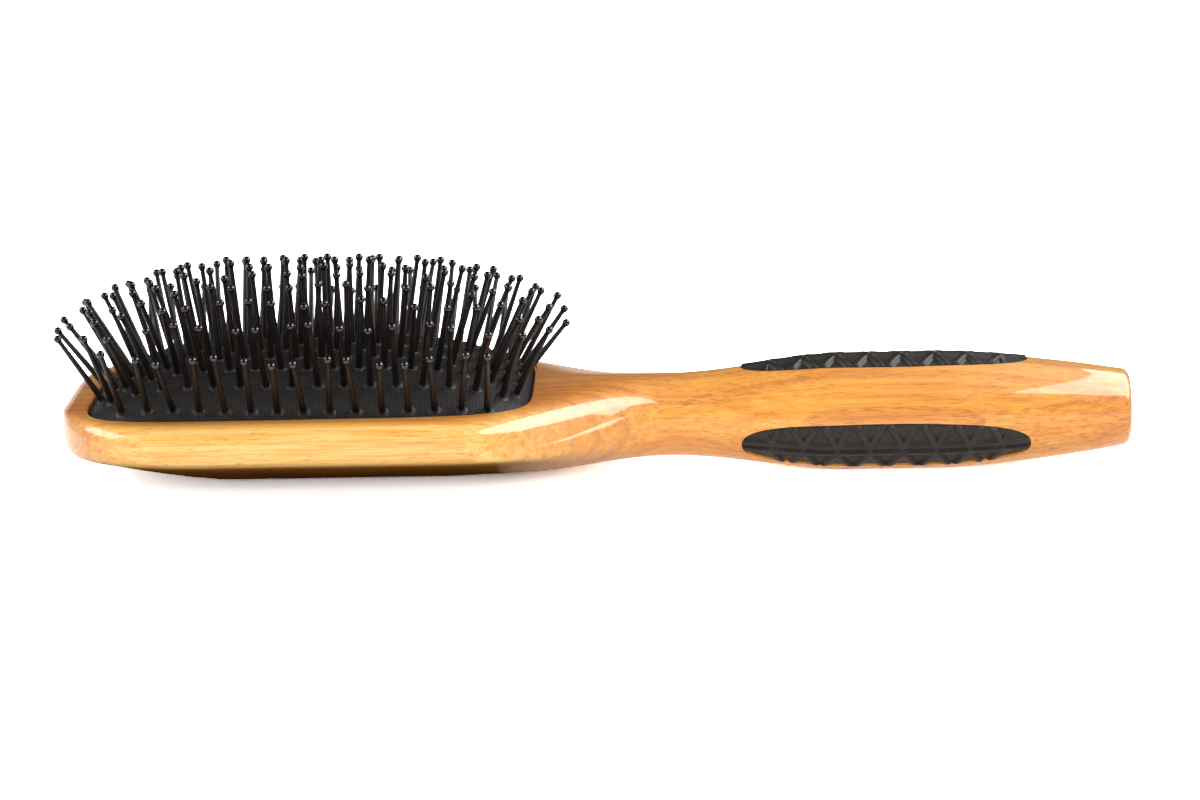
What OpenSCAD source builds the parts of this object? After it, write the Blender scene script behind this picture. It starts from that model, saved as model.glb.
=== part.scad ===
// Paddle detangling brush: a one-piece bamboo body, an air cushion of rubber
// pierced by ball-tipped pins, and three ribbed rubber grips let into the handle.
// The brush lies on its back, pins up. The handle points along +X.
// The origin is on the resting face, under the middle of the cushion.

/* [Body] */
// Overall length, free end of the head to the butt
brush_l = 253; // [225:1:300]
// Distance from the middle of the cushion to the free end of the head
head_end_x = 59.5; // [57:0.5:70]
// Width of the head near its free end
head_w = 83.6; // [80:0.2:100]
// How much the head narrows on each side towards the handle
head_taper = 1.7; // [0:0.1:3]
// Height of the head's flat face above the table
face_z = 21.5; // [20:0.5:26]
// Height of the lower corner of the head's side, where the back curves away
back_rise = 12.6; // [9:0.2:13]
// Width of the flat land on the back that rests on the table
land_w = 4.4; // [3.2:0.2:12]
// Rounding of the head's upper edge
top_edge_r = 4; // [2:0.25:5]
// Rounding of the head's lower edge
low_edge_r = 3; // [1.5:0.25:4]
// How far the lower edge is rounded in from the free end
low_end_r = 8; // [4:0.5:10]
// How far the lower edge is lifted at the free end
low_end_lift = 2.6; // [1:0.1:3]

/* [Handle] */
// Diameter of the neck
neck_d = 19.8; // [17:0.2:24]
// Diameter of the belly of the handle
belly_d = 27.4; // [25:0.2:30]
// Diameter at the butt
butt_d = 17.8; // [15:0.2:22]
// Rounding of the butt's edge
butt_edge_r = 1.6; // [0.8:0.1:3]

/* [Cushion] */
// Length of the cushion's opening in the head
cushion_l = 104; // [98:0.5:105]
// Width of the cushion's opening at the middle of its length
cushion_w = 66.4; // [64:0.2:68]
// How far the crown stands above the head's face
crown_h = 10.5; // [6:0.25:11]
// Thickness of the rubber
rubber_t = 1.4; // [1:0.1:2]
// How far the flange reaches under the wood
flange_reach = 2; // [1.2:0.1:2.6]
// Thickness of the flange
flange_t = 2; // [1.5:0.1:2.5]
// Depth of the air chamber below the head's face
chamber_depth = 9; // [8:0.1:9.5]
// Diameter of the vent hole in the rubber
vent_d = 1; // [0.6:0.1:1.6]

/* [Pins] */
// Distance between pins along a row
pin_pitch = 6.05; // [5.5:0.05:7]
// Distance between rows
row_pitch = 6.2; // [5.6:0.1:7]
// Rows on each side of the middle row
side_rows = 5; // [3:1:5]
// Length of a pin from the rubber to the top of its ball
pin_l = 20; // [15:0.5:24]
// Diameter of a pin at the rubber
pin_root_d = 1.6; // [1.3:0.1:2]
// Diameter of a pin just under its ball
pin_neck_d = 1.1; // [0.8:0.1:1.4]
// Diameter of the ball tip
ball_d = 1.9; // [1.5:0.1:2.4]
// Diameter of the flat head under the rubber
head_d = 3; // [2.4:0.1:3.6]
// Thickness of that flat head
head_t = 0.8; // [0.5:0.1:1.2]
// Lean of the outermost pins, in degrees
lean = 44; // [25:1:48]

/* [Grips] */
// Length of a grip
grip_l = 68; // [60:0.5:76]
// Width of a grip across its middle
grip_w = 13.2; // [11:0.2:15]
// Depth of the pocket below the wood's surface
pocket_depth = 2.4; // [2:0.1:3]
// Height of the ribs above the rubber between them
rib_h = 0.9; // [0.5:0.05:1.1]
// Width of a rib
rib_w = 1.4; // [1:0.1:1.8]
// Distance between ribs along the grip
rib_pitch = 7.8; // [7:0.1:9]

/* [Hidden] */
$fn = 48;

// Overrun of a cut past the face it opens
over = 1;
// Clearance round the rubber parts that sit in the wood
seat_gap = 0.1;
// Clearance round a pin in its hole
hole_gap = 0.12;

// Body outline, measured from the middle of the cushion
shoulder_share = 0.61;
neck_share = 0.58;
end_share = 0.52;
butt_x = brush_l - head_end_x;
shoulder_x = shoulder_share * head_end_x;
neck_x = shoulder_x + neck_share * head_w;
axis_z = belly_d / 2;
end_l = end_share * head_end_x;
corner_power = 2.6;

function ease(t) = let (c = min(1, max(0, t))) c * c * (3 - 2 * c);
// Distance in from a rounded edge gives how far the surface has dropped
function drop(d, r) = d >= r ? 0 : r - sqrt(max(0, r * r - (r - d) * (r - d)));
// n places from a towards b, without b
function spread(a, b, n) = [for (i = [0:n - 1]) a + (b - a) * i / n];

// Handle outline: from the neck it swells to the belly and narrows to the butt
handle_l = butt_x - neck_x;
belly_start_share = 0.38;
belly_end_share = 0.58;
belly_x0 = neck_x + belly_start_share * handle_l;
belly_x1 = neck_x + belly_end_share * handle_l;
butt_power = 1.6;
function swell_r(x) = neck_d / 2 + (belly_d - neck_d) / 2 * ease((x - neck_x) / (belly_x0 - neck_x));
function narrow_r(x) =
    belly_d / 2 - (belly_d - butt_d) / 2 * pow(max(0, x - belly_x1) / (butt_x - belly_x1), butt_power);
function handle_r(x) = x < belly_x0 ? swell_r(x) : narrow_r(x);

// Half width of the head at x, before its rounded end and with it
function side_y(x) =
    head_w / 2 - head_taper * max(0, x + head_end_x - end_l) / (shoulder_x + head_end_x - end_l);
function head_y(x) =
    let (u = max(0, (end_l - head_end_x - x) / end_l))
    side_y(x) * pow(max(0, 1 - pow(u, corner_power)), 1 / corner_power);
// Half width of the body at x, shoulders included
shoulder_power = 1.15;
function body_y(x) =
    let (t = pow(ease((x - shoulder_x) / (neck_x - shoulder_x)), shoulder_power))
    (1 - t) * head_y(x) + t * neck_d / 2;

// The back: flat land, rising to the sides and to the free end
back_power = 1.15;
back_corner_power = 2.8;
land_end_share = 0.35;
function back_z(x, y) =
    let (v = max(0, abs(y) - land_w / 2) / (head_w / 2 - land_w / 2),
         u = max(0, -x - land_end_share * head_end_x) / (head_end_x * (1 - land_end_share)),
         m = pow(pow(v, back_corner_power) + pow(u, back_corner_power), 1 / back_corner_power))
    back_rise * pow(min(1, m), back_power);

back_steps = 7;
low_steps = 4;
top_steps = 5;
face_steps = 2;
half_count = back_steps + low_steps + top_steps + face_steps + 1;
// A rounding takes no more than these shares of the side's height
low_side_share = 0.4;
top_side_share = 0.5;

// Places across the back: its middle, the edge of the land and steps from there to y
function back_y(i, y) =
    let (l = min(land_w / 2, y / back_steps))
    i == 0 ? 0 : l + (y - l) * (i - 1) / (back_steps - 1);
// Half a section of the head at x, from the middle of the back to the middle of the face
function head_section(x) =
    let (w = body_y(x),
         d = x + head_end_x,
         zt = face_z - drop(d, top_edge_r),
         lift = low_end_lift * drop(d, low_end_r) / low_end_r,
         side = zt - back_z(x, w) - lift,
         rl = min(low_edge_r, w / 2, low_side_share * side),
         rt = min(top_edge_r, w / 2, top_side_share * side),
         zc = back_z(x, w - rl) + lift)
    concat(
        [for (i = [0:back_steps]) let (y = back_y(i, w - rl)) [y, back_z(x, y) + lift]],
        [for (i = [1:low_steps]) let (a = 90 * i / low_steps) [w - rl + rl * sin(a), zc + rl - rl * cos(a)]],
        [for (i = [0:top_steps - 1]) let (a = 90 * i / (top_steps - 1))
            [w - rt + rt * cos(a), zt - rt + rt * sin(a)]],
        [for (i = [1:face_steps]) [(w - rt) * (1 - i / face_steps), zt]]);
// As many points on an oval of half width w about the handle's axis
function round_section(w, r) =
    [for (i = [0:half_count - 1]) let (a = -90 + 180 * i / (half_count - 1))
        [w * cos(a), axis_z + r * sin(a)]];
blend_share = 0.75;
blend_x = blend_share * shoulder_x;
function half_section(x) =
    let (b = ease((x - blend_x) / (neck_x - blend_x)),
         h = head_section(x),
         c = round_section(body_y(x), neck_d / 2))
    [for (i = [0:half_count - 1]) (1 - b) * h[i] + b * c[i]];
// A whole ring from half a section, up the +Y side and down the -Y side
function ring(x, h) =
    concat([for (p = h) [x, p[0], p[1]]],
           [for (i = [half_count - 2:-1:1]) [x, -h[i][0], h[i][1]]]);

// Places of the sections along the head, closer where it turns
end_angles = [8, 15, 23, 31, 40, 49, 58, 68, 78];
head_x = concat([for (a = end_angles) end_l * (1 - pow(cos(a), 2 / corner_power)) - head_end_x],
                spread(end_l - head_end_x, blend_x, 5),
                spread(blend_x, neck_x - 2 * over, 12));
// The head ends in a core that runs into the handle, just under its surface
core_step = 0.05;
core = round_section(neck_d / 2 - core_step, neck_d / 2 - core_step);
head_rings = concat([for (x = head_x) ring(x, half_section(x))],
                    [ring(neck_x - over, core), ring(neck_x + over, core)]);

// Triangles between rings that all have n points
function strips(rings, n) =
    [for (k = [0:rings - 2], i = [0:n - 1])
        let (j = (i + 1) % n) each [[k * n + i, (k + 1) * n + j, k * n + j],
                                    [k * n + i, (k + 1) * n + i, (k + 1) * n + j]]];
// A closed skin over such rings, with a flat face at each end
function skin(rings, n) =
    concat([[for (i = [0:n - 1]) i]], strips(rings, n), [[for (i = [n - 1:-1:0]) (rings - 1) * n + i]]);

// The flat face at the free end is a fan about its middle, because some of its corners lie in one line
head_n = 2 * half_count - 2;
end_half = half_section(head_x[0]);
end_middle = [head_x[0], 0, (end_half[0][1] + end_half[half_count - 1][1]) / 2];
head_faces = concat([for (i = [0:head_n - 1]) [i, (i + 1) % head_n, len(head_rings) * head_n]],
                    strips(len(head_rings), head_n),
                    [[for (i = [head_n - 1:-1:0]) (len(head_rings) - 1) * head_n + i]]);

// Outline of the cushion's opening, grown by g on all sides
function power(c, p) = sign(c) * pow(abs(c), 2 / p);
open_power = 5.9;
open_points = 72;
function open_y(x) = cushion_w / 2 - head_taper * x / (shoulder_x + head_end_x);
function open_at(a, g, m = 1) =
    let (x = m * (cushion_l / 2 + g) * power(cos(a), open_power))
    [x, m * (open_y(x) + g) * power(sin(a), open_power)];
// 0 in the middle of the cushion, 1 on the edge of its opening
function reach(x, y) =
    pow(pow(abs(x) / (cushion_l / 2), open_power) + pow(abs(y) / open_y(x), open_power), 1 / open_power);

module opening(g, z0, z1) {
    translate([0, 0, z0])
        linear_extrude(height = z1 - z0)
            polygon([for (i = [0:open_points - 1]) open_at(360 * i / open_points, g)]);
}

// Levels of the rubber
// The flange stands this far above the floor of the air chamber
floor_gap = 1.9;
// The edge of the dome lies this far below the head's face
lip_depth = 1;
flange_z = face_z - chamber_depth + floor_gap;
lip_z = face_z - lip_depth;
dome_power = 3.2;
function dome_z(m) = lip_z + (crown_h + face_z - lip_z) * (1 - pow(min(1, m), dome_power));
function dome_at(x, y) = dome_z(reach(x, y));

// The head with its opening, the groove for the flange and the air chamber
module head() {
    difference() {
        polyhedron(points = concat([for (r = head_rings) each r], [end_middle]),
                   faces = head_faces, convexity = 8);
        opening(0, face_z - chamber_depth, face_z + over);
        opening(flange_reach, flange_z - seat_gap, flange_z + flange_t + seat_gap);
    }
}
butt_angles = [0, 30, 60, 90];
handle_x = concat(spread(neck_x, belly_x0, 9), spread(belly_x0, belly_x1, 3),
                  spread(belly_x1, butt_x - butt_edge_r, 8),
                  [for (a = butt_angles) butt_x - butt_edge_r + butt_edge_r * sin(a)]);
module handle() {
    difference() {
        translate([0, 0, axis_z]) rotate([0, 90, 0])
            rotate_extrude($fn = 96)
                polygon(concat([[0, neck_x]],
                               [for (x = handle_x) [handle_r(x) - drop(butt_x - x, butt_edge_r), x]],
                               [[0, butt_x]]));
        for (a = grip_angles) grip_place(a) grip_pocket();
    }
}
module bamboo_body() {
    color("burlywood") {
        head();
        handle();
    }
}

// Rings of the cushion's skin, outside first, as [grow, share of the way out, z]
crown_thick_share = 1.15;
skirt_power = 4;
dome_shares = [0.16, 0.32, 0.47, 0.6, 0.71, 0.81, 0.89, 0.96];
rubber_rings = concat(
    [for (m = dome_shares) [-seat_gap, m, dome_z(m)]],
    [[-seat_gap, 1, lip_z], [-seat_gap, 1, flange_z + flange_t],
     [flange_reach - seat_gap, 1, flange_z + flange_t], [flange_reach - seat_gap, 1, flange_z],
     [-rubber_t - seat_gap, 1, flange_z], [-rubber_t - seat_gap, 1, lip_z - rubber_t]],
    [for (i = [len(dome_shares) - 2:-1:0]) let (m = dome_shares[i])
        [-rubber_t * pow(m, skirt_power) - seat_gap, m, dome_z(m) - crown_thick_share * rubber_t]]);
rubber_points = 48;
module rubber_skin() {
    n = rubber_points;
    rings = [for (r = rubber_rings) each
        [for (i = [0:n - 1]) let (p = open_at(360 * i / n, r[0], r[1])) [p[0], p[1], r[2]]]];
    count = len(rubber_rings);
    polyhedron(
        points = concat(rings, [[0, 0, dome_z(0)], [0, 0, dome_z(0) - crown_thick_share * rubber_t]]),
        faces = concat(
            [for (i = [0:n - 1]) [count * n, i, (i + 1) % n]],
            strips(count, n),
            [for (i = [0:n - 1]) [count * n + 1, (count - 1) * n + (i + 1) % n, (count - 1) * n + i]]),
        convexity = 8);
}

// A pin's shank goes this many thicknesses of the rubber below its surface
sink_share = 2.2;
sink = sink_share * rubber_t;
module cushion() {
    color("#1d1d1f")
    difference() {
        rubber_skin();
        for (p = pin_list) pin_place(p)
            translate([0, 0, -sink - over])
                cylinder(d = pin_root_d + 2 * hole_gap, h = sink + 2 * over);
        translate([vent_x, 0, 0]) cylinder(d = vent_d, h = face_z + crown_h + over);
    }
}

// Pins: a staggered field whose rows draw in towards the rounded corners
end_margin = 2.6;
rim_share = 0.975;
draw_share = 0.16;
draw_power = 4;
field_x = 0;
row_half = ceil(cushion_l / 2 / pin_pitch);
vent_x = field_x;
function row_y(x, r) = r * row_pitch * (1 - draw_share * pow(min(1, abs(x) / (cushion_l / 2)), draw_power));
pin_list = [for (r = [-side_rows:side_rows], c = [-row_half:row_half])
    let (x = field_x + (c + (abs(r) % 2 == 0 ? 0.5 : 0)) * pin_pitch, y = row_y(x, r))
    if (abs(x) < cushion_l / 2 - end_margin && reach(x, y) < rim_share) [x, y, r, c]];
// Limits of the rings of pins, as shares of the way from the middle to the edge
ring_shares = [0, 0.34, 0.5, 0.64, 0.76, 0.86, 1.01];
function ring_of(p) =
    let (m = reach(p[0], p[1])) [for (k = [0:5]) if (m >= ring_shares[k] && m < ring_shares[k + 1]) k][0];

// The pins stand square to the stretched rubber: upright in the middle, splayed at the edge
side_lean_power = 0.95;
end_lean_power = 2.2;
// How late the lean fades towards the ends of a row, and towards the outer rows
side_fade_power = 12;
end_fade_power = 2.1;
// Small, fixed irregularities of lean, in degrees, and how fast they turn from pin to pin
wobble = 3.5;
side_turns = [149, 83];
end_turns = [97, 211];
function lean_at(t, across, p, fade) =
    lean * sign(t) * pow(abs(t), p) * (1 - pow(min(1, abs(across)), fade));
module pin_place(p) {
    x = p[0];
    y = p[1];
    u = x / (cushion_l / 2);
    v = y / open_y(x);
    lx = lean_at(u, v, end_lean_power, end_fade_power) + wobble * sin(end_turns * [p[2], p[3]]);
    ly = lean_at(v, u, side_lean_power, side_fade_power) + wobble * sin(side_turns * [p[2], p[3]]);
    translate([x, y, dome_at(x, y)])
        rotate([0, min(lean + wobble, norm([lx, ly])), atan2(ly, lx)]) children();
}
module pin(p) {
    pin_place(p) {
        translate([0, 0, -sink - head_t]) cylinder(d = head_d, h = head_t);
        translate([0, 0, -sink - head_t / 2]) cylinder(d = pin_root_d, h = sink + head_t / 2);
        cylinder(d1 = pin_root_d, d2 = pin_neck_d, h = pin_l - ball_d / 2);
        translate([0, 0, pin_l - ball_d / 2]) sphere(d = ball_d);
    }
}
module pin_ring(k) {
    color("#2a1c16")
    for (p = pin_list) if (ring_of(p) == k) pin(p);
}
module pins_centre() { pin_ring(0); }
module pins_ring_2() { pin_ring(1); }
module pins_ring_3() { pin_ring(2); }
module pins_ring_4() { pin_ring(3); }
module pins_ring_5() { pin_ring(4); }
module pins_rim() { pin_ring(5); }

// Grips
grip_mid_share = 0.465;
grip_x = neck_x + grip_mid_share * handle_l;
grip_power = 2.6;
grip_points = 48;
grip_sink = 0.4;
spine_w = 1.1;
spine_gap = 0.9;
rib_count = 7;
grip_turn = 120;
grip_angles = [for (k = [0:2]) k * grip_turn];

// Turns what is drawn for the top grip to the place at angle a round the handle
module grip_place(a) {
    translate([grip_x, 0, axis_z]) rotate([a, 0, 0]) children();
}
module grip_oval(g, z1) {
    linear_extrude(height = z1)
        polygon([for (i = [0:grip_points - 1]) let (a = 360 * i / grip_points)
            [(grip_l / 2 + g) * power(cos(a), grip_power), (grip_w / 2 + g) * power(sin(a), grip_power)]]);
}
// A round body that follows the handle's surface at a distance g from it
follow_steps = 14;
module follow(g, margin) {
    rotate([0, 90, 0])
        rotate_extrude($fn = 96)
            polygon(concat(
                [[0, -grip_l / 2 - margin]],
                [for (i = [0:follow_steps])
                    let (x = (grip_l / 2 + margin) * (2 * i / follow_steps - 1))
                        [handle_r(grip_x + x) + g, x]],
                [[0, grip_l / 2 + margin]]));
}
module grip_pocket() {
    difference() {
        grip_oval(seat_gap, belly_d);
        follow(-pocket_depth, 2 * over);
    }
}
// One zigzag rib on the +Y side of the spine
module zigzag() {
    run = rib_count * rib_pitch;
    far_y = grip_w / 2 + over;
    near_y = spine_gap / 2 + spine_w / 2;
    top = [for (i = [0:2 * rib_count]) [i * rib_pitch / 2 - run / 2, i % 2 == 0 ? near_y : far_y]];
    thick = rib_w * norm([rib_pitch / 2, far_y - near_y]) / (rib_pitch / 2);
    linear_extrude(height = belly_d)
        polygon(concat([for (p = top) [p[0], p[1] + thick / 2]],
                       [for (i = [len(top) - 1:-1:0]) [top[i][0], top[i][1] - thick / 2]]));
}
module grip() {
    color("#2e2d2b") {
        intersection() {
            grip_oval(0, belly_d);
            difference() {
                follow(-grip_sink, over);
                follow(seat_gap - pocket_depth, 2 * over);
            }
        }
        intersection() {
            grip_oval(0, belly_d);
            difference() {
                follow(rib_h - grip_sink, over);
                follow(-grip_sink - rib_h, 2 * over);
            }
            union() {
                for (s = [0, 1]) mirror([0, s, 0]) {
                    zigzag();
                    translate([-grip_l / 2, spine_gap / 2, 0]) cube([grip_l, spine_w, belly_d]);
                }
            }
        }
    }
}
module top_grip() { grip_place(grip_angles[0]) grip(); }
module near_grip() { grip_place(grip_angles[1]) grip(); }
module far_grip() { grip_place(grip_angles[2]) grip(); }

bamboo_body();
cushion();
pins_centre();
pins_ring_2();
pins_ring_3();
pins_ring_4();
pins_ring_5();
pins_rim();
top_grip();
near_grip();
far_grip();
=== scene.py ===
"""Looks of a bamboo detangling brush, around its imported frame. Shapes are in millimetres."""

import math
import random

import bmesh
import bpy
import numpy as np
from mathutils import Matrix, Vector


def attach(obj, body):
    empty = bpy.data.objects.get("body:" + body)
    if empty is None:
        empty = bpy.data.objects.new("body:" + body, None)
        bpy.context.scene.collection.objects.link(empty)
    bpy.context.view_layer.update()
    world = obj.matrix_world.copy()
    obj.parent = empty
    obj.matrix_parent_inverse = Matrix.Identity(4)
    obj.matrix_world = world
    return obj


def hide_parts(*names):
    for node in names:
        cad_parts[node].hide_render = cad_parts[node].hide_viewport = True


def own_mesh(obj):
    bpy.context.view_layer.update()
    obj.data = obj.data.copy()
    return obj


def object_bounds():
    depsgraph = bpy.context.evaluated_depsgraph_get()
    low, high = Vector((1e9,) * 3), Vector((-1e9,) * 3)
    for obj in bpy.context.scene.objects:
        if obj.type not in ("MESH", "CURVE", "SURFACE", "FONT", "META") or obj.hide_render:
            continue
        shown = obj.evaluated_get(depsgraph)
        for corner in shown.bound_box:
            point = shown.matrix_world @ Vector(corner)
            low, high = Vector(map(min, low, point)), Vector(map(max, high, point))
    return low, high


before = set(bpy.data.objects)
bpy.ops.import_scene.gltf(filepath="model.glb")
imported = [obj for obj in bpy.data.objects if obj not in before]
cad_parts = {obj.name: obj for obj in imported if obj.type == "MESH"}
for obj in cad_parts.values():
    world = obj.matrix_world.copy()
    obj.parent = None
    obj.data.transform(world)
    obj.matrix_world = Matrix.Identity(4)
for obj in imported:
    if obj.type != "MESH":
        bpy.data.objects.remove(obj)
CAD_BOX = [list(corner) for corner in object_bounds()]
MM = 0.001
random.seed(7)

# Body, as in the frame
BRUSH_L = 253.0
HEAD_END_X = 59.5
HEAD_W = 83.6
HEAD_TAPER = 1.7
FACE_Z = 21.5
BACK_RISE = 12.6
BACK_POWER = 1.15
BACK_CORNER_POWER = 2.8
LAND_W = 4.4
LAND_END_SHARE = 0.35
TOP_EDGE_R = 4.0
LOW_EDGE_R = 3.0
LOW_END_R = 8.0
LOW_END_LIFT = 2.6
NECK_D = 19.8
BELLY_D = 27.4
BUTT_D = 17.8
BUTT_EDGE_R = 1.6
BUTT_POWER = 1.6
BUTT_X = BRUSH_L - HEAD_END_X
SHOULDER_X = 0.61 * HEAD_END_X
SHOULDER_POWER = 1.15
NECK_X = SHOULDER_X + 0.58 * HEAD_W
AXIS_Z = BELLY_D / 2
END_L = 0.52 * HEAD_END_X
STRAIGHT_X = END_L - HEAD_END_X
CORNER_POWER = 2.6
BELLY_X0 = NECK_X + 0.38 * (BUTT_X - NECK_X)
BELLY_X1 = NECK_X + 0.58 * (BUTT_X - NECK_X)
BLEND_X = 0.75 * SHOULDER_X

# An edge of the head takes up at most this share of the height of its side
LOW_SIDE_SHARE = 0.4
TOP_SIDE_SHARE = 0.5

# Cushion and its opening
CUSHION_L = 104.0
CUSHION_W = 66.4
CROWN_H = 10.5
OPEN_POWER = 5.9
OPEN_EDGE_R = 0.5
DOME_POWER = 3.2
LIP_Z = FACE_Z - 1.0
CHAMBER_Z = FACE_Z - 9.0
FLANGE_Z = CHAMBER_Z + 1.9
FLANGE_T = 2.0
FLANGE_REACH = 2.0
RUBBER_T = 1.4
INNER_DROP = 1.15 * RUBBER_T
SEAT_GAP = 0.1
CUT_PAST = 1.0

# Collar of rubber round a pin. Its top, rim and foot are heights above the end of the pin's root
COLLAR_TOP = 0.55
COLLAR_RIM = -0.12
COLLAR_FOOT = -0.8
COLLAR_R = 1.75
COLLAR_POWER = 2.2
COLLAR_STEPS = 6
COLLAR_GAP = 0.1

# Pins
PIN_L = 20.0
PIN_ROOT_R = 0.8
PIN_NECK_R = 0.53
PIN_HEAD_R = 1.5
PIN_HEAD_T = 0.8
PIN_BEVEL_T = 0.12
PIN_BEVEL_R = 0.15
PIN_STEPS = 6
PIN_STEP_H = 0.02
PIN_SIDES = 14
BALL_R = 0.95
BALL_STEPS = 8
BALL_TOP_ANGLE = 0.06
NECK_END_R = PIN_NECK_R + 0.08
NECK_END_GAP = 0.35
BALL_FOOT_R = PIN_NECK_R + 0.10
SINK = 2.2 * RUBBER_T
END_SLICE = 0.02
SAME_POINT = 0.0001
MOST_BEND = 0.45
MOST_OUTER_BEND = 0.12
OUTER_NODES = ("pins_rim", "pins_ring_5")
PIN_NODES = ["pins_centre", "pins_ring_2", "pins_ring_3", "pins_ring_4", "pins_ring_5", "pins_rim"]

# Grips
GRIP_L = 68.0
GRIP_W = 13.2
GRIP_X = NECK_X + 0.465 * (BUTT_X - NECK_X)
GRIP_POWER = 2.6
POCKET_DEPTH = 2.4
POCKET_PAST = 2.0
GRIP_SINK = 0.4
RIM_R = 0.55
RIM_DROP = 0.45
RIB_H = 0.9
RIB_W = 1.4
RIB_PITCH = 7.8
RIB_COUNT = 7
RIB_ROUND = 0.5
RIB_ROUND_IN = 0.22
RIB_PAST = 1.0
RIB_AT_RIM = 0.35
SPINE_W = 1.1
SPINE_GAP = 0.9
GRIP_ANGLES = {"top_grip": 0, "near_grip": 120, "far_grip": 240}

# Steps of the meshes. BODY_STEPS are stretches along X: start, end and number of sections
BACK_STEPS = 24
LOW_STEPS = 8
TOP_STEPS = 10
FACE_STEPS = 8
HALF_COUNT = BACK_STEPS + LOW_STEPS + TOP_STEPS + FACE_STEPS + 1
END_STEPS = 28
END_ANGLES = (2, 86)
BODY_STEPS = [(STRAIGHT_X, BLEND_X, 10), (BLEND_X, NECK_X, 44), (NECK_X, BELLY_X0, 26),
              (BELLY_X0, BELLY_X1, 12), (BELLY_X1, BUTT_X - BUTT_EDGE_R, 30)]
OPEN_SIDES = 200
POCKET_SIDES = 144
CUSHION_SIDES = 240
DOME_STEPS = 44
DOME_TIP = 0.004
DOME_FOOT = 0.992
GRIP_ROWS = 330
GRIP_COLUMNS = 56
GRIP_WELD = 0.002


# Curves of the body
def ease(t):
    """0 to 1, level at both ends."""
    c = min(1.0, max(0.0, t))
    return c * c * (3 - 2 * c)


def drop(d, r):
    """How far an edge rounded by r lies below its level at the distance d from its end."""
    return 0.0 if d >= r else r - math.sqrt(max(0.0, r * r - (r - d) ** 2))


def power(c, p):
    """A sine or cosine, for an oval whose corners are filled out by the power p."""
    return math.copysign(abs(c) ** (2 / p), c)


def handle_r(x):
    """Radius of the handle."""
    if x < BELLY_X0:
        return NECK_D / 2 + (BELLY_D - NECK_D) / 2 * ease((x - NECK_X) / (BELLY_X0 - NECK_X))
    t = max(0.0, x - BELLY_X1) / (BUTT_X - BELLY_X1)
    return BELLY_D / 2 - (BELLY_D - BUTT_D) / 2 * t ** BUTT_POWER


def head_y(x):
    """Half the width of the head."""
    side = HEAD_W / 2 - HEAD_TAPER * max(0.0, x - STRAIGHT_X) / (SHOULDER_X - STRAIGHT_X)
    u = max(0.0, (STRAIGHT_X - x) / END_L)
    return side * max(0.0, 1 - u ** CORNER_POWER) ** (1 / CORNER_POWER)


def body_y(x):
    """Half the width of the head and the neck."""
    t = ease((x - SHOULDER_X) / (NECK_X - SHOULDER_X)) ** SHOULDER_POWER
    return (1 - t) * head_y(x) + t * NECK_D / 2


def back_z(x, y):
    """Height of the head's back: 0 on the land, and rising to the edge."""
    v = max(0.0, abs(y) - LAND_W / 2) / (HEAD_W / 2 - LAND_W / 2)
    u = max(0.0, -x - LAND_END_SHARE * HEAD_END_X) / (HEAD_END_X * (1 - LAND_END_SHARE))
    m = (v ** BACK_CORNER_POWER + u ** BACK_CORNER_POWER) ** (1 / BACK_CORNER_POWER)
    return BACK_RISE * min(1.0, m) ** BACK_POWER


def head_section(x):
    """Half a section of the head, from the middle of its back round its side to the middle of its face."""
    w = body_y(x)
    d = x + HEAD_END_X
    top = FACE_Z - drop(d, TOP_EDGE_R)
    lift = LOW_END_LIFT * drop(d, LOW_END_R) / LOW_END_R
    side = top - back_z(x, w) - lift
    low_r = min(LOW_EDGE_R, w / 2, LOW_SIDE_SHARE * side)
    top_r = min(TOP_EDGE_R, w / 2, TOP_SIDE_SHARE * side)
    low = back_z(x, w - low_r) + lift
    inner = min(LAND_W / 2, (w - low_r) / BACK_STEPS)
    points = [(0.0, back_z(x, 0.0) + lift)]
    for i in range(BACK_STEPS):
        y = inner + (w - low_r - inner) * i / (BACK_STEPS - 1)
        points.append((y, back_z(x, y) + lift))
    for i in range(1, LOW_STEPS + 1):
        a = math.pi / 2 * i / LOW_STEPS
        points.append((w - low_r + low_r * math.sin(a), low + low_r - low_r * math.cos(a)))
    for i in range(TOP_STEPS):
        a = math.pi / 2 * i / (TOP_STEPS - 1)
        points.append((w - top_r + top_r * math.cos(a), top - top_r + top_r * math.sin(a)))
    points += [((w - top_r) * (1 - i / FACE_STEPS), top) for i in range(1, FACE_STEPS + 1)]
    return points


def round_section(w, r):
    angles = [-math.pi / 2 + math.pi * i / (HALF_COUNT - 1) for i in range(HALF_COUNT)]
    return [(w * math.cos(a), AXIS_Z + r * math.sin(a)) for a in angles]


def half_section(x):
    """Half a section of the body. On the way to the neck it turns from the head's into a round one."""
    if x >= NECK_X:
        r = handle_r(x) - drop(BUTT_X - x, BUTT_EDGE_R)
        return round_section(r, r)
    b = ease((x - BLEND_X) / (NECK_X - BLEND_X))
    pairs = zip(head_section(x), round_section(body_y(x), NECK_D / 2))
    return [((1 - b) * h[0] + b * c[0], (1 - b) * h[1] + b * c[1]) for h, c in pairs]


def body_ring(x):
    half = half_section(x)
    return [(x, y, z) for y, z in half] + [(x, -y, z) for y, z in half[-2:0:-1]]


# Curves of the opening and the cushion
def turns(n):
    return [2 * math.pi * i / n for i in range(n)]


def open_y(x):
    """Half the width of the opening, which follows the taper of the head."""
    return CUSHION_W / 2 - HEAD_TAPER * x / (SHOULDER_X + HEAD_END_X)


def open_ring(z, gap, sides, share=1.0):
    """The outline of the opening at a height, made wider by gap and then shrunk to a share of its size."""
    ring = []
    for a in turns(sides):
        x = share * (CUSHION_L / 2 + gap) * power(math.cos(a), OPEN_POWER)
        ring.append((x, share * (open_y(x) + gap) * power(math.sin(a), OPEN_POWER), z))
    return ring


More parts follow.
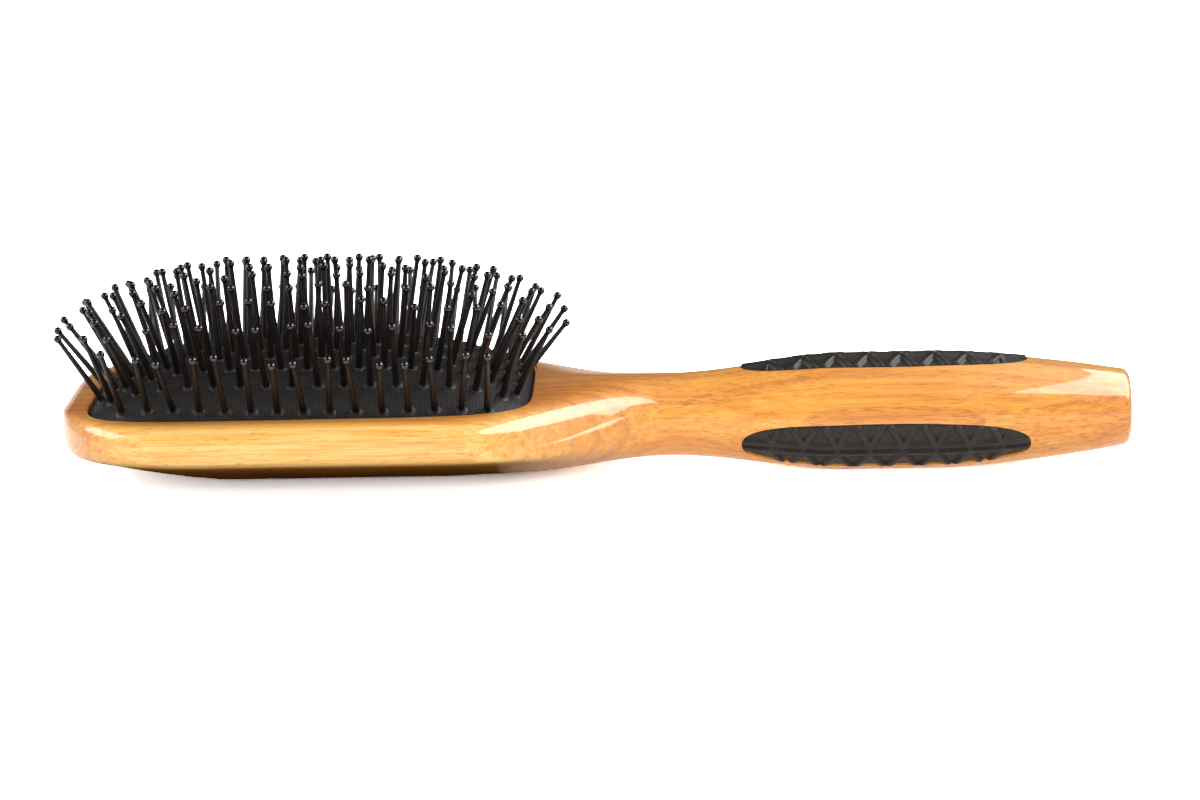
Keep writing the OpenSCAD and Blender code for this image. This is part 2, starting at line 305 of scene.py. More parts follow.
def dome_z(share):
    """Height of the dome where it has this share of its whole outline."""
    return LIP_Z + (CROWN_H + FACE_Z - LIP_Z) * (1 - min(1.0, share) ** DOME_POWER)


# Meshes
def loft(rings):
    """Vertices and faces of a closed skin over rings that all have the same number of points."""
    n = len(rings[0])
    verts = [p for r in rings for p in r]
    faces = []
    for k in range(len(rings) - 1):
        for i in range(n):
            j = (i + 1) % n
            faces.append((k * n + i, (k + 1) * n + i, (k + 1) * n + j, k * n + j))
    faces.append(tuple(range(n)))
    faces.append(tuple(range(len(rings) * n - 1, (len(rings) - 1) * n - 1, -1)))
    return verts, faces


def join_part(verts, faces, part):
    """Adds the points and faces of a part to the lists of a larger mesh."""
    part_verts, part_faces = part
    faces += [tuple(i + len(verts) for i in face) for face in part_faces]
    verts += part_verts


def make(name, verts, faces, material=None):
    """A mesh object from points in millimetres, with its faces pointing out."""
    mesh = bpy.data.meshes.new(name)
    mesh.from_pydata([tuple(c * MM for c in v) for v in verts], [], faces)
    bm = bmesh.new()
    bm.from_mesh(mesh)
    bmesh.ops.recalc_face_normals(bm, faces=bm.faces)
    bm.to_mesh(mesh)
    bm.free()
    obj = bpy.data.objects.new(name, mesh)
    bpy.context.scene.collection.objects.link(obj)
    if material:
        mesh.materials.append(material)
    return obj


def smooth(obj, degrees=35.0):
    """Smooth shading, with edges sharper than this kept sharp."""
    mesh = obj.data
    bm = bmesh.new()
    bm.from_mesh(mesh)
    limit = math.radians(degrees)
    for face in bm.faces:
        face.smooth = True
    for edge in bm.edges:
        edge.smooth = len(edge.link_faces) == 2 and edge.calc_face_angle(0.0) < limit
    bm.to_mesh(mesh)
    bm.free()


def cut(obj, cutter):
    """Takes the cutter's volume out of the object and deletes the cutter."""
    mod = obj.modifiers.new("cut", "BOOLEAN")
    mod.operation = "DIFFERENCE"
    mod.solver = "EXACT"
    mod.object = cutter
    bpy.context.view_layer.objects.active = obj
    bpy.ops.object.modifier_apply(modifier=mod.name)
    bpy.data.objects.remove(cutter)


# Nodes for the materials
def tree_of(name, values=()):
    """A new material with its node tree and shader. values are the shader's, the same everywhere."""
    mat = bpy.data.materials.new(name)
    mat.use_nodes = True
    shader = mat.node_tree.nodes["Principled BSDF"]
    for key, value in dict(values).items():
        shader.inputs[key].default_value = value
    return mat, mat.node_tree, shader


def node(tree, kind, inputs=(), **fields):
    """A shader node. inputs maps a socket's name or number to a value or to another node's socket."""
    made = tree.nodes.new(kind)
    for key, value in fields.items():
        setattr(made, key, value)
    for key, value in dict(inputs).items():
        socket = made.inputs[key]
        if isinstance(value, bpy.types.NodeSocket):
            tree.links.new(value, socket)
        else:
            socket.default_value = value
    return made


def math_node(tree, operation, a, b=0.0):
    return node(tree, "ShaderNodeMath", {0: a, 1: b}, operation=operation).outputs[0]


def plus(tree, a, b):
    return math_node(tree, "ADD", a, b)


def minus(tree, a, b):
    return math_node(tree, "SUBTRACT", a, b)


def times(tree, a, b):
    return math_node(tree, "MULTIPLY", a, b)


def weighted(tree, total, *parts):
    """total plus each part's value times its weight."""
    for value, weight in parts:
        total = plus(tree, total, times(tree, value, weight))
    return total


def span(tree, value, start, end, low=0.0, high=1.0, soft=False):
    """low where value is at start, high where it is at end, and in between on the way."""
    way = "SMOOTHSTEP" if soft else "LINEAR"
    inputs = {"Value": value, "From Min": start, "From Max": end, "To Min": low, "To Max": high}
    return node(tree, "ShaderNodeMapRange", inputs, interpolation_type=way).outputs[0]


def between(tree, share, low, high):
    """low where share is 0, high where it is 1."""
    return span(tree, share, 0.0, 1.0, low, high)


def ramp(tree, value, stops):
    made = node(tree, "ShaderNodeValToRGB", {"Fac": value})
    band = made.color_ramp
    while len(band.elements) < len(stops):
        band.elements.new(0.5)
    for element, (place, colour) in zip(band.elements, stops):
        element.position = place
        element.color = (*colour, 1.0)
    return made.outputs["Color"]


def mix(tree, fac, a, b, blend="MIX"):
    """Colour a where fac is 0, and b, or a and b blended, where it is 1."""
    made = tree.nodes.new("ShaderNodeMix")
    made.data_type = "RGBA"
    made.blend_type = blend
    for key, value in ((0, fac), (6, a), (7, b)):
        if isinstance(value, bpy.types.NodeSocket):
            tree.links.new(value, made.inputs[key])
        elif key == 0:
            made.inputs[key].default_value = value
        else:
            made.inputs[key].default_value = (*value, 1.0)
    return made.outputs[2]


def tint(tree, share, colour, by):
    """colour, multiplied by another colour where share is 1."""
    return mix(tree, share, colour, mix(tree, 1.0, colour, by, "MULTIPLY"))


def axes_of(tree, vector):
    """The outputs X, Y and Z of a vector."""
    return node(tree, "ShaderNodeSeparateXYZ", {0: vector}).outputs


def place_mm(tree, scale=(1, 1, 1), offset=(0, 0, 0)):
    """The place on the object in millimetres, times scale."""
    coord = node(tree, "ShaderNodeTexCoord").outputs["Object"]
    whole = tuple(s / MM for s in scale)
    return node(tree, "ShaderNodeMapping", {"Vector": coord, "Scale": whole, "Location": offset}).outputs[0]


def noise(tree, scale, detail, rough=0.5, offset=(0, 0, 0)):
    """Noise over the object. scale is in cells per millimetre along X, Y and Z."""
    inputs = {"Vector": place_mm(tree, scale, offset), "Scale": 1.0, "Detail": detail, "Roughness": rough}
    return node(tree, "ShaderNodeTexNoise", inputs).outputs["Fac"]


def bump(tree, shader, height, strength, distance):
    made = node(tree, "ShaderNodeBump", {"Height": height, "Strength": strength, "Distance": distance * MM})
    tree.links.new(made.outputs[0], shader.inputs["Normal"])


# Bamboo. The pitch and sway of its strips are in millimetres, and OUTER_STRIPS counts from the middle one
STRIP_PITCH = 5.3
STRIP_SWAY = 0.6
OUTER_STRIPS = (4.4, 5.6)
DENSE_SHARE = 1 / 2.4
BAMBOO_TONES = [(0.28, (0.64, 0.200, 0.030)), (0.42, (0.87, 0.330, 0.048)), (0.54, (0.94, 0.425, 0.070)),
                (0.66, (0.96, 0.540, 0.120)), (0.80, (0.97, 0.650, 0.200))]
DENSE_COLOUR = (0.66, 0.220, 0.055)
OUTER_COLOUR = (0.96, 0.590, 0.200)
MARK_COLOUR = (0.46, 0.130, 0.028)
# The next colour is painted shade, laid on the face of the head
FACE_PAINTED_SHADE = (1.0, 0.82, 0.58)
END_TINT = (0.93, 0.76, 0.64)
# The next colour is painted shade, laid on the back of the head
BACK_PAINTED_SHADE = (0.24, 0.19, 0.16)

# Noises of the bamboo: cells per millimetre along X, Y and Z, detail, roughness and offset
SWAY = ((0.012, 0.02, 0.02), 1.0)
STREAK = ((0.016, 0.85, 0.85), 5.0, 0.62)
FINE = ((0.05, 3.0, 3.0), 3.0, 0.6)
CLOUD = ((0.02, 0.06, 0.06), 2.0)
HAIR = ((0.012, 2.3, 2.3), 3.0, 0.65, (3, 7, 1))
DASH = ((0.30, 3.4, 3.4), 1.5)
PATCH = ((0.03, 0.12, 0.12), 1.0, 0.5, (9, 3, 5))

# Where the head's tints and painted shade start and end: in millimetres, and for END_FADE and
# BACK_FADE the part of the surface's direction that lies along X or Z
HEAD_FADE_X = (NECK_X - 4.0, SHOULDER_X + 8.0)
FACE_FADE_Z = (FACE_Z - 1.0, FACE_Z - 0.3)
BACK_FADE_Z = (12.0, 9.5)
END_FADE = (0.35, 0.70)
BACK_FADE = (-0.45, -0.85)


def bamboo_strips(tree, y):
    """How far through its strip a place is, the strip's own shade, and 1 on the outer strips."""
    sway = times(tree, minus(tree, noise(tree, *SWAY), 0.5), STRIP_SWAY)
    across = plus(tree, math_node(tree, "ABSOLUTE", y), sway)
    strip = plus(tree, math_node(tree, "DIVIDE", across, STRIP_PITCH), 0.5)
    index = math_node(tree, "FLOOR", strip)
    side = times(tree, math_node(tree, "SIGN", y), index)
    shade = node(tree, "ShaderNodeTexWhiteNoise", {"W": side}, noise_dimensions="1D").outputs["Value"]
    return math_node(tree, "FRACT", strip), shade, span(tree, index, *OUTER_STRIPS)


def head_tints_and_painted_shade(tree, colour, place):
    """The colour with the tints and the painted shade of the head's parts, and a value that is 1 on its
    back.
    """
    facing = axes_of(tree, node(tree, "ShaderNodeNewGeometry").outputs["Normal"])
    head = span(tree, place["X"], *HEAD_FADE_X)
    # The face of the head is made a redder, deeper tone than the sides: painted shade, for the weaker light
    # that falls on the face
    face = times(tree, span(tree, place["Z"], *FACE_FADE_Z, soft=True), head)
    colour = tint(tree, face, colour, FACE_PAINTED_SHADE)
    # Cut fibre ends, where the surface turns across the grain, look darker
    ends = span(tree, math_node(tree, "ABSOLUTE", facing["X"]), *END_FADE)
    colour = tint(tree, times(tree, ends, head), colour, END_TINT)
    # The back of the head gets painted shade, darker lower down, and no gloss: it stands in for the shadow
    # under the head
    back = times(tree, span(tree, facing["Z"], *BACK_FADE), head)
    shade_on_back = times(tree, back, span(tree, place["Z"], *BACK_FADE_Z, 0.45, 1.0))
    return tint(tree, shade_on_back, colour, BACK_PAINTED_SHADE), back


def bamboo_material():
    """Strips glued side by side across Y, fibres along X, under gloss varnish."""
    mat, tree, shader = tree_of("bamboo", {"Roughness": 0.45, "Coat Roughness": 0.04, "Coat IOR": 1.5})
    place = axes_of(tree, place_mm(tree))
    within, shade, outer = bamboo_strips(tree, place["Y"])
    streak, fine, cloud, hair = (noise(tree, *made) for made in (STREAK, FINE, CLOUD, HAIR))
    lines = times(tree, minus(tree, plus(tree, streak, hair), 1.0), outer)
    tone = weighted(tree, -0.20, (streak, 0.75), (fine, 0.35), (cloud, 0.30),
                    (minus(tree, shade, 0.5), 0.07), (outer, 0.12), (lines, 0.60))
    colour = ramp(tree, tone, BAMBOO_TONES)

    # The side of a strip that was the outside of the stalk is denser and darker
    dense = times(tree, span(tree, within, 0.0, DENSE_SHARE, 1.0, 0.0), between(tree, outer, 1.0, 0.3))
    colour = mix(tree, times(tree, dense, 0.42), colour, DENSE_COLOUR)
    colour = mix(tree, times(tree, outer, 0.20), colour, OUTER_COLOUR)

    # Vascular bundles: short dark dashes along the grain, dots across it
    patch = minus(tree, noise(tree, *PATCH), 0.5)
    dash = weighted(tree, noise(tree, *DASH), (dense, 0.09), (outer, -0.07), (patch, 0.25))
    marks = span(tree, dash, 0.57, 0.68)
    colour = mix(tree, times(tree, marks, 0.60), colour, MARK_COLOUR)

    # The head's tints, with painted shade on its face and its back. The back also loses its gloss
    colour, back = head_tints_and_painted_shade(tree, colour, place)
    tree.links.new(colour, shader.inputs["Base Color"])
    tree.links.new(between(tree, back, 0.25, 0.0), shader.inputs["Specular IOR Level"])
    tree.links.new(between(tree, back, 0.6, 0.0), shader.inputs["Coat Weight"])
    bump(tree, shader, weighted(tree, marks, (fine, 0.7)), 0.12, 0.05)
    return mat


WEAVE_PITCH = 0.52


def cushion_material():
    """Black rubber with a fine woven print, with painted shade in the weave's hollows and painted light on
    its threads.
    """
    mat, tree, shader = tree_of("cushion_rubber", {"Roughness": 0.5, "Specular IOR Level": 0.22})
    place = axes_of(tree, place_mm(tree))
    wobble = times(tree, noise(tree, (0.3, 0.3, 0.3), 2.0), 1.6)
    lines = []
    for axis in ("X", "Y"):
        turn = times(tree, place[axis], 2 * math.pi / WEAVE_PITCH)
        lines.append(math_node(tree, "SINE", plus(tree, turn, wobble)))
    weave = weighted(tree, 0.5, (lines[0], 0.25), (lines[1], 0.1375))
    dust = noise(tree, (1.2, 1.2, 1.2), 4.0, 0.7)
    level = weighted(tree, 0.0, (weave, 0.6), (dust, 0.4))
    # The weave's dark hollows and lighter threads are painted shade and painted light. The dust noise is the
    # rubber's own
    colour = ramp(tree, level, [(0.25, (0.006, 0.006, 0.006)), (0.55, (0.016, 0.015, 0.015)),
                                (0.80, (0.066, 0.054, 0.047))])
    tree.links.new(colour, shader.inputs["Base Color"])
    bump(tree, shader, level, 0.55, 0.12)
    return mat


def pin_material():
    """Near-black brown nylon with a soft sheen."""
    mat, tree, shader = tree_of("pin_nylon", {"Roughness": 0.34, "Specular IOR Level": 0.2})
    cloud = noise(tree, (0.16, 0.16, 0.10), 2.0)
    colour = ramp(tree, cloud, [(0.35, (0.004, 0.0035, 0.0035)), (0.58, (0.010, 0.006, 0.005)),
                                (0.75, (0.016, 0.0065, 0.004))])
    tree.links.new(colour, shader.inputs["Base Color"])
    bump(tree, shader, noise(tree, (2.0, 2.0, 0.5), 2.0), 0.10, 0.05)
    return mat


def ball_material():
    """The same nylon, polished."""
    values = {"Base Color": (0.006, 0.005, 0.005, 1.0), "Roughness": 0.2, "Specular IOR Level": 0.15,
              "Coat Weight": 0.55, "Coat Roughness": 0.03}
    return tree_of("ball_nylon", values)[0]


def grip_material():
    """Satin black rubber with a fine moulded grain and a little dust in it."""
    mat, tree, shader = tree_of("grip_rubber", {"Roughness": 0.48, "Specular IOR Level": 0.2})
    dust = noise(tree, (0.5, 0.9, 0.9), 4.0, 0.7)
    colour = ramp(tree, dust, [(0.3, (0.016, 0.0135, 0.011)), (0.7, (0.032, 0.027, 0.022))])
    tree.links.new(colour, shader.inputs["Base Color"])
    bump(tree, shader, noise(tree, (5, 5, 5), 3.0, 0.6), 0.22, 0.06)
    return mat


# Levels of the stage
FLOOR_SEEN = 4.5
FLOOR_REFLECTED = 2.8
FLOOR_BOUNCE = 0.5
AMBIENT = 0.74
GLOSSY_SKY = 0.05

# The floor in metres: its middle, half its size, its gap under the brush and where its shading fades out
FLOOR_MIDDLE_X = 0.0655
FLOOR_HALF = 8.0
FLOOR_GAP = 0.0001
FLOOR_FADE = (0.20, 0.42)
# Reflections whose direction rises more than the first see a dark sky, less than the second a white one
HORIZON = (0.16, 0.08)


def floor_material():
    """Pale paper, exposed to white where it is seen, and plain white further out. It throws less back."""
    mat = bpy.data.materials.new("floor")
    mat.use_nodes = True
    tree = mat.node_tree
    tree.nodes.clear()
    path = node(tree, "ShaderNodeLightPath").outputs
    seen = math_node(tree, "MAXIMUM", path["Is Camera Ray"], path["Is Glossy Ray"])
    seen = math_node(tree, "MAXIMUM", seen, path["Is Transmission Ray"])
    level = between(tree, path["Is Glossy Ray"], FLOOR_SEEN, FLOOR_REFLECTED)
    pale = between(tree, seen, FLOOR_BOUNCE, level)
    grey = node(tree, "ShaderNodeCombineColor", {"Red": pale, "Green": pale, "Blue": pale}).outputs[0]
    diffuse = node(tree, "ShaderNodeBsdfDiffuse", {"Color": grey}).outputs[0]
    glow = node(tree, "ShaderNodeEmission", {"Color": (1.0, 1.0, 1.0, 1.0), "Strength": 1.0}).outputs[0]
    coord = node(tree, "ShaderNodeTexCoord").outputs["Object"]
    middle = (FLOOR_MIDDLE_X, 0.0, 0.0)
    away = node(tree, "ShaderNodeVectorMath", {0: coord, 1: middle}, operation="DISTANCE").outputs["Value"]
    far = times(tree, span(tree, away, *FLOOR_FADE, soft=True), seen)
    shader = node(tree, "ShaderNodeMixShader", {0: far, 1: diffuse, 2: glow})
    node(tree, "ShaderNodeOutputMaterial", {"Surface": shader.outputs[0]}).is_active_output = True
    return mat


def world_level(tree):
    """White where it is seen directly, low white all round for reflections, else soft ambient light."""
    path = node(tree, "ShaderNodeLightPath").outputs
    up = axes_of(tree, node(tree, "ShaderNodeTexCoord").outputs["Generated"])["Z"]
    glossy = between(tree, span(tree, up, *HORIZON, soft=True), GLOSSY_SKY, 1.0)
    level = between(tree, path["Is Glossy Ray"], AMBIENT, glossy)
    seen = math_node(tree, "MAXIMUM", path["Is Camera Ray"], path["Is Transmission Ray"])
    return between(tree, seen, level, 1.0)


def add_light(name, place, target, radiance, size, diffuse=True, glossy=True):
    """A rectangular softbox. It can be left out of the diffuse light or of the reflections."""
    data = bpy.data.lights.new(name, "AREA")
    data.shape = "RECTANGLE"
    data.size, data.size_y = size
    data.energy = radiance * math.pi * size[0] * size[1]
    obj = bpy.data.objects.new(name, data)
    obj.location = place
    aim = Vector(target) - Vector(place)
    obj.rotation_euler = aim.to_track_quat("-Z", "Y").to_euler()
    obj.visible_camera = False
    obj.visible_diffuse = diffuse
    obj.visible_glossy = glossy
    bpy.context.scene.collection.objects.link(obj)


def add_lights():
    """One soft box that lights the brush, and two that are seen only in reflections. Places in metres."""
    middle = (FLOOR_MIDDLE_X, 0.0, 0.01)
    add_light("front_softbox", (0.07, -1.22, 0.38), middle, 8.2, (1.1, 0.34), glossy=False)
    add_light("right_glints", (0.93, -0.02, 0.50), (0.93, -0.02, 0.0), 12.0, (1.19, 0.9), diffuse=False)
    add_light("left_glints", (-0.62, -0.12, 0.42), (-0.02, -0.01, 0.02), 9.0, (0.62, 0.40), diffuse=False)


# Camera: its place in metres, its turn, pitch down and roll in degrees, its lens and sensor in millimetres
CAMERA_PLACE = (0.0896, -0.9543, 0.2325)
CAMERA_TURN = -1.31
CAMERA_PITCH = 12.70
CAMERA_ROLL = -1.24
LENS = 123.2
SENSOR_W = 36.0


def add_camera():
    data = bpy.data.cameras.new("camera")
    data.lens = LENS
    data.sensor_width = SENSOR_W
    obj = bpy.data.objects.new("camera", data)
    obj.location = CAMERA_PLACE
    turn, pitch = math.radians(CAMERA_TURN), math.radians(CAMERA_PITCH)
    gaze = Vector((math.sin(turn) * math.cos(pitch), math.cos(turn) * math.cos(pitch), -math.sin(pitch)))
    level = gaze.to_track_quat("-Z", "Y").to_matrix()
    obj.rotation_euler = (level @ Matrix.Rotation(math.radians(CAMERA_ROLL), 3, "Z")).to_euler()
    bpy.context.scene.collection.objects.link(obj)
    bpy.context.scene.camera = obj


def add_stage():
    mesh = bpy.data.meshes.new("floor")
    corners = [(x * FLOOR_HALF, y * FLOOR_HALF, 0) for x, y in ((-1, -1), (1, -1), (1, 1), (-1, 1))]
    mesh.from_pydata(corners, [], [(0, 1, 2, 3)])
    floor = bpy.data.objects.new("floor", mesh)
    floor.location = (0, 0, CAD_BOX[0][2] - FLOOR_GAP)
    mesh.materials.append(floor_material())
    bpy.context.scene.collection.objects.link(floor)

    world = bpy.data.worlds.new("world")
    bpy.context.scene.world = world
    world.use_nodes = True
    tree = world.node_tree
    background = tree.nodes["Background"]
    background.inputs["Color"].default_value = (1, 1, 1, 1)
    tree.links.new(world_level(tree), background.inputs["Strength"])
    add_lights()


# Body
def body_rings():
    """The body's sections, closer together on its rounded ends."""
    first, last = END_ANGLES
    angles = [math.radians(first + (last - first) * i / (END_STEPS - 1)) for i in range(END_STEPS)]
    xs = [END_L * (1 - math.cos(a) ** (2 / CORNER_POWER)) - HEAD_END_X for a in angles]
    xs = [x for x in xs if x < STRAIGHT_X - 0.5]
    for start, end, count in BODY_STEPS:
        xs += [start + (end - start) * i / count for i in range(count)]
    xs += [BUTT_X - BUTT_EDGE_R * (1 - math.sin(math.radians(a))) for a in range(0, 91, 10)]
    return [body_ring(x) for x in xs]


def opening_cutter():
    """The cushion's opening down to the chamber's floor, with its upper edge rounded."""
    edge = FACE_Z - OPEN_EDGE_R
    levels = [(CHAMBER_Z, 0.0), (edge, 0.0)]
    for degrees in (20, 40, 60, 75, 90):
        a = math.radians(degrees)
        levels.append((edge + OPEN_EDGE_R * math.sin(a), OPEN_EDGE_R * (1 - math.cos(a))))
    levels.append((FACE_Z + CUT_PAST, OPEN_EDGE_R))
    return make("opening_cutter", *loft([open_ring(z, gap, OPEN_SIDES) for z, gap in levels]))


def groove_cutter():
    """The groove that holds the cushion's flange."""
    levels = (FLANGE_Z - SEAT_GAP, FLANGE_Z + FLANGE_T + SEAT_GAP)
    return make("groove_cutter", *loft([open_ring(z, FLANGE_REACH, OPEN_SIDES) for z in levels]))


def on_handle(x, s, g):
    """A point of the top grip's field: x along the handle, s across, g out from the wood."""
    r = handle_r(GRIP_X + x) + g
    return GRIP_X + x, s, math.sqrt(max(0.0, r * r - s * s))


def turned(points, degrees):
    """The top grip's points, moved round the handle's axis."""
    a = math.radians(degrees)
    c, s = math.cos(a), math.sin(a)
    return [(x, y * c - z * s, y * s + z * c + AXIS_Z) for x, y, z in points]


def pocket_ring(share, g):
    """The outline of a grip's pocket, shrunk to a share of its size, g out from the wood."""
    ring = []
    for a in turns(POCKET_SIDES):
        x = share * (GRIP_L / 2 + SEAT_GAP) * power(math.cos(a), GRIP_POWER)
        ring.append(on_handle(x, share * (GRIP_W / 2 + SEAT_GAP) * power(math.sin(a), GRIP_POWER), g))
    return ring


def pocket_cutter(degrees):
    """A grip's pocket, with a floor and a lid that follow the round of the handle."""
    shares = [0.999, 0.75, 0.5, 0.25, 0.02]
    rings = [pocket_ring(share, POCKET_PAST) for share in shares[::-1]]
    rings += [pocket_ring(share, -POCKET_DEPTH) for share in shares]
    verts, faces = loft(rings)
    return make("pocket_cutter", turned(verts, degrees), faces)


def add_body(material):
    body = make("bamboo_shell", *loft(body_rings()), material)
    cut(body, opening_cutter())
    cut(body, groove_cutter())
    for angle in GRIP_ANGLES.values():
        cut(body, pocket_cutter(angle))
    smooth(body)
    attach(body, "root")
    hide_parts("bamboo_body")


# Grips
def rib_profile(d, half):
    """1 on a rib's top, 0 beside it, with rounded shoulders."""
    return 1 - ease((d - half + RIB_ROUND_IN) / RIB_ROUND)


def rib_height(x, s):
    """1 on the ribs of a grip, 0 between them: two spines along it, and a zigzag on either side."""
    t = abs(s)
    near = SPINE_GAP / 2 + SPINE_W / 2
    far = GRIP_W / 2 + RIB_PAST
    top = rib_profile(abs(t - near), SPINE_W / 2)
    run = RIB_COUNT * RIB_PITCH
    if abs(x) < run / 2 + RIB_W:
        u = (x + run / 2) / RIB_PITCH
        f = abs((u % 1.0) - 0.5) * 2
        line = near + (far - near) * (1 - f)
        slope = (far - near) / (RIB_PITCH / 2)
        inside = 1 - ease((abs(x) - run / 2) / RIB_W)
        top = max(top, inside * rib_profile(abs(t - line) / math.hypot(1, slope), RIB_W / 2))
    return top


def grip_point(x, s, half_w):
    """A point of a grip's upper side, where the ribs fade and the rubber rounds off towards the rim."""
    border = min(half_w - abs(s), GRIP_L / 2 - abs(x))
    rim = max(0.0, 1 - border / RIM_R)
    rib = RIB_H * rib_height(x, s) * ease(border / RIB_ROUND + RIB_AT_RIM)
    return on_handle(x, s, rib - GRIP_SINK - RIM_DROP * rim * rim)


def grip_top():
    """The points of a grip's upper side, row after row, closer together near the rim."""
    verts = []
    for i in range(GRIP_ROWS + 1):
        x = GRIP_L / 2 * math.sin(math.pi * (i / GRIP_ROWS - 0.5)) * 0.9999
        half_w = GRIP_W / 2 * (1 - abs(x / (GRIP_L / 2)) ** GRIP_POWER) ** (1 / GRIP_POWER)
        for j in range(GRIP_COLUMNS + 1):
            s = half_w * math.sin(math.pi * (j / GRIP_COLUMNS - 0.5))
            verts.append(grip_point(x, s, half_w))
    return verts


def grip_rim():
    """The numbers of the points round a grip's upper side."""
    n = GRIP_COLUMNS + 1
    rim = [i * n for i in range(GRIP_ROWS + 1)]
    rim += [GRIP_ROWS * n + j for j in range(1, n)]
    rim += [i * n + GRIP_COLUMNS for i in range(GRIP_ROWS - 1, -1, -1)]
    return rim + list(range(GRIP_COLUMNS - 1, 0, -1))


def grip_shell():
    """Points and faces of a grip: its upper side, then its sides and underside, on the pocket's floor."""
    verts = grip_top()
    n = GRIP_COLUMNS + 1
    faces = [(i * n + j, (i + 1) * n + j, (i + 1) * n + j + 1, i * n + j + 1)
             for i in range(GRIP_ROWS) for j in range(GRIP_COLUMNS)]
    rim = grip_rim()
    base = len(verts)
    for k in rim:
        x, s, _ = verts[k]
        verts.append(on_handle(x - GRIP_X, s, SEAT_GAP - POCKET_DEPTH))
    middle = len(verts)
    verts.append(on_handle(0.0, 0.0, SEAT_GAP - POCKET_DEPTH))
    pairs = [(k, (k + 1) % len(rim)) for k in range(len(rim))]
    faces += [(rim[k], rim[after], base + after, base + k) for k, after in pairs]
    faces += [(base + k, base + after, middle) for k, after in pairs]
    return verts, faces


def weld(obj, distance):
    """Joins points closer than this and turns the faces out again."""
    bm = bmesh.new()
    bm.from_mesh(obj.data)
    bmesh.ops.remove_doubles(bm, verts=bm.verts, dist=distance * MM)
    bmesh.ops.recalc_face_normals(bm, faces=bm.faces)
    bm.to_mesh(obj.data)
    bm.free()


def add_grip(name, degrees, material):
    verts, faces = grip_shell()
    piece = make(name + "_inlay", turned(verts, degrees), faces, material)
    weld(piece, GRIP_WELD)
    smooth(piece, 60)
    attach(piece, "root")
    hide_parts(name)


# Pins
def loose_parts(mesh):
    """The points of each separate part of a mesh, in millimetres."""
    bm = bmesh.new()
    bm.from_mesh(mesh)
    bmesh.ops.remove_doubles(bm, verts=bm.verts, dist=SAME_POINT * MM)
    bm.verts.index_update()
    seen, parts = set(), []
    for start in bm.verts:
        if start.index in seen:
            continue
        seen.add(start.index)
        stack, group = [start], []
        while stack:
            v = stack.pop()
            group.append(v.co[:])
            for edge in v.link_edges:
                other = edge.other_vert(v)
                if other.index not in seen:
                    seen.add(other.index)
                    stack.append(other)
        parts.append(np.array(group) / MM)
    bm.free()
    return parts


def pin_axis(points):
    """Where a pin's axis starts, in the middle of its flat head, and the way to the top of its ball."""
    middle = points.mean(0)
    axis = np.linalg.svd(points - middle, full_matrices=False)[2][0]
    axis = axis if axis[2] > 0 else -axis
    t = (points - middle) @ axis
    bottom = points[t < t.min() + END_SLICE]
    top = points[t > t.max() - END_SLICE].mean(0)
    start = (bottom.min(0) + bottom.max(0)) / 2
    return start, (top - start) / np.linalg.norm(top - start)


def pin_axes(cad_node):
    """The axes of a node's pins, in the order of their places."""
    axes = [pin_axis(points) for points in loose_parts(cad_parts[cad_node].data)]
    return sorted(axes, key=lambda pin: (round(pin[0][0], 2), round(pin[0][1], 2)))


def across_of(axis):
    """Two directions square to an axis."""
    other = np.array([0.0, 1.0, 0.0]) if abs(axis[1]) < 0.8 else np.array([1.0, 0.0, 0.0])
    u = np.cross(axis, other)
    u /= np.linalg.norm(u)
    return u, np.cross(axis, u)


def lathe(profile, start, axis, bend=(0.0, 0.0)):
    """A closed turned shape. profile holds (place along the axis, radius). bend moves its tip sideways."""
    u, v = across_of(axis)
    length = profile[-1][0]
    rings = []
    for t, r in profile:
        sag = max(0.0, t / length) ** 2
        middle = start + axis * t + (u * bend[0] + v * bend[1]) * sag
        rings.append([tuple(middle + r * (u * math.cos(a) + v * math.sin(a))) for a in turns(PIN_SIDES)])
    return loft(rings)


def pin_profile():
    """The flat head with bevelled edges, the straight root, the tapered shaft and the ball."""
    root = PIN_HEAD_T + SINK
    ball = root + PIN_L - BALL_R
    points = [(0.0, PIN_HEAD_R - PIN_BEVEL_R), (PIN_BEVEL_T, PIN_HEAD_R)]
    points += [(PIN_HEAD_T - PIN_BEVEL_T, PIN_HEAD_R), (PIN_HEAD_T, PIN_HEAD_R - PIN_BEVEL_R)]
    points += [(PIN_HEAD_T + PIN_STEP_H, PIN_ROOT_R), (root, PIN_ROOT_R)]
    neck_end = ball - math.sqrt(BALL_R ** 2 - NECK_END_R ** 2) - NECK_END_GAP
    for i in range(1, PIN_STEPS + 1):
        f = i / PIN_STEPS
        points.append((root + (neck_end - root) * f, PIN_ROOT_R + (PIN_NECK_R - PIN_ROOT_R) * f))
    low_angle = math.pi - math.asin(BALL_FOOT_R / BALL_R)
    for i in range(BALL_STEPS + 1):
        a = low_angle * (1 - i / BALL_STEPS) + BALL_TOP_ANGLE * (i / BALL_STEPS)
        points.append((ball + BALL_R * math.cos(a), BALL_R * math.sin(a)))
    return points


def polish_balls(piece, ring_count):
    """Gives the balls the second material. A pin's faces are its rings, then its lower and its upper end."""
    lower_end = PIN_SIDES * (ring_count - 1)
    for face in piece.data.polygons:
        k = face.index % (lower_end + 2)
        if lower_end - PIN_SIDES * BALL_STEPS <= k != lower_end:
            face.material_index = 1


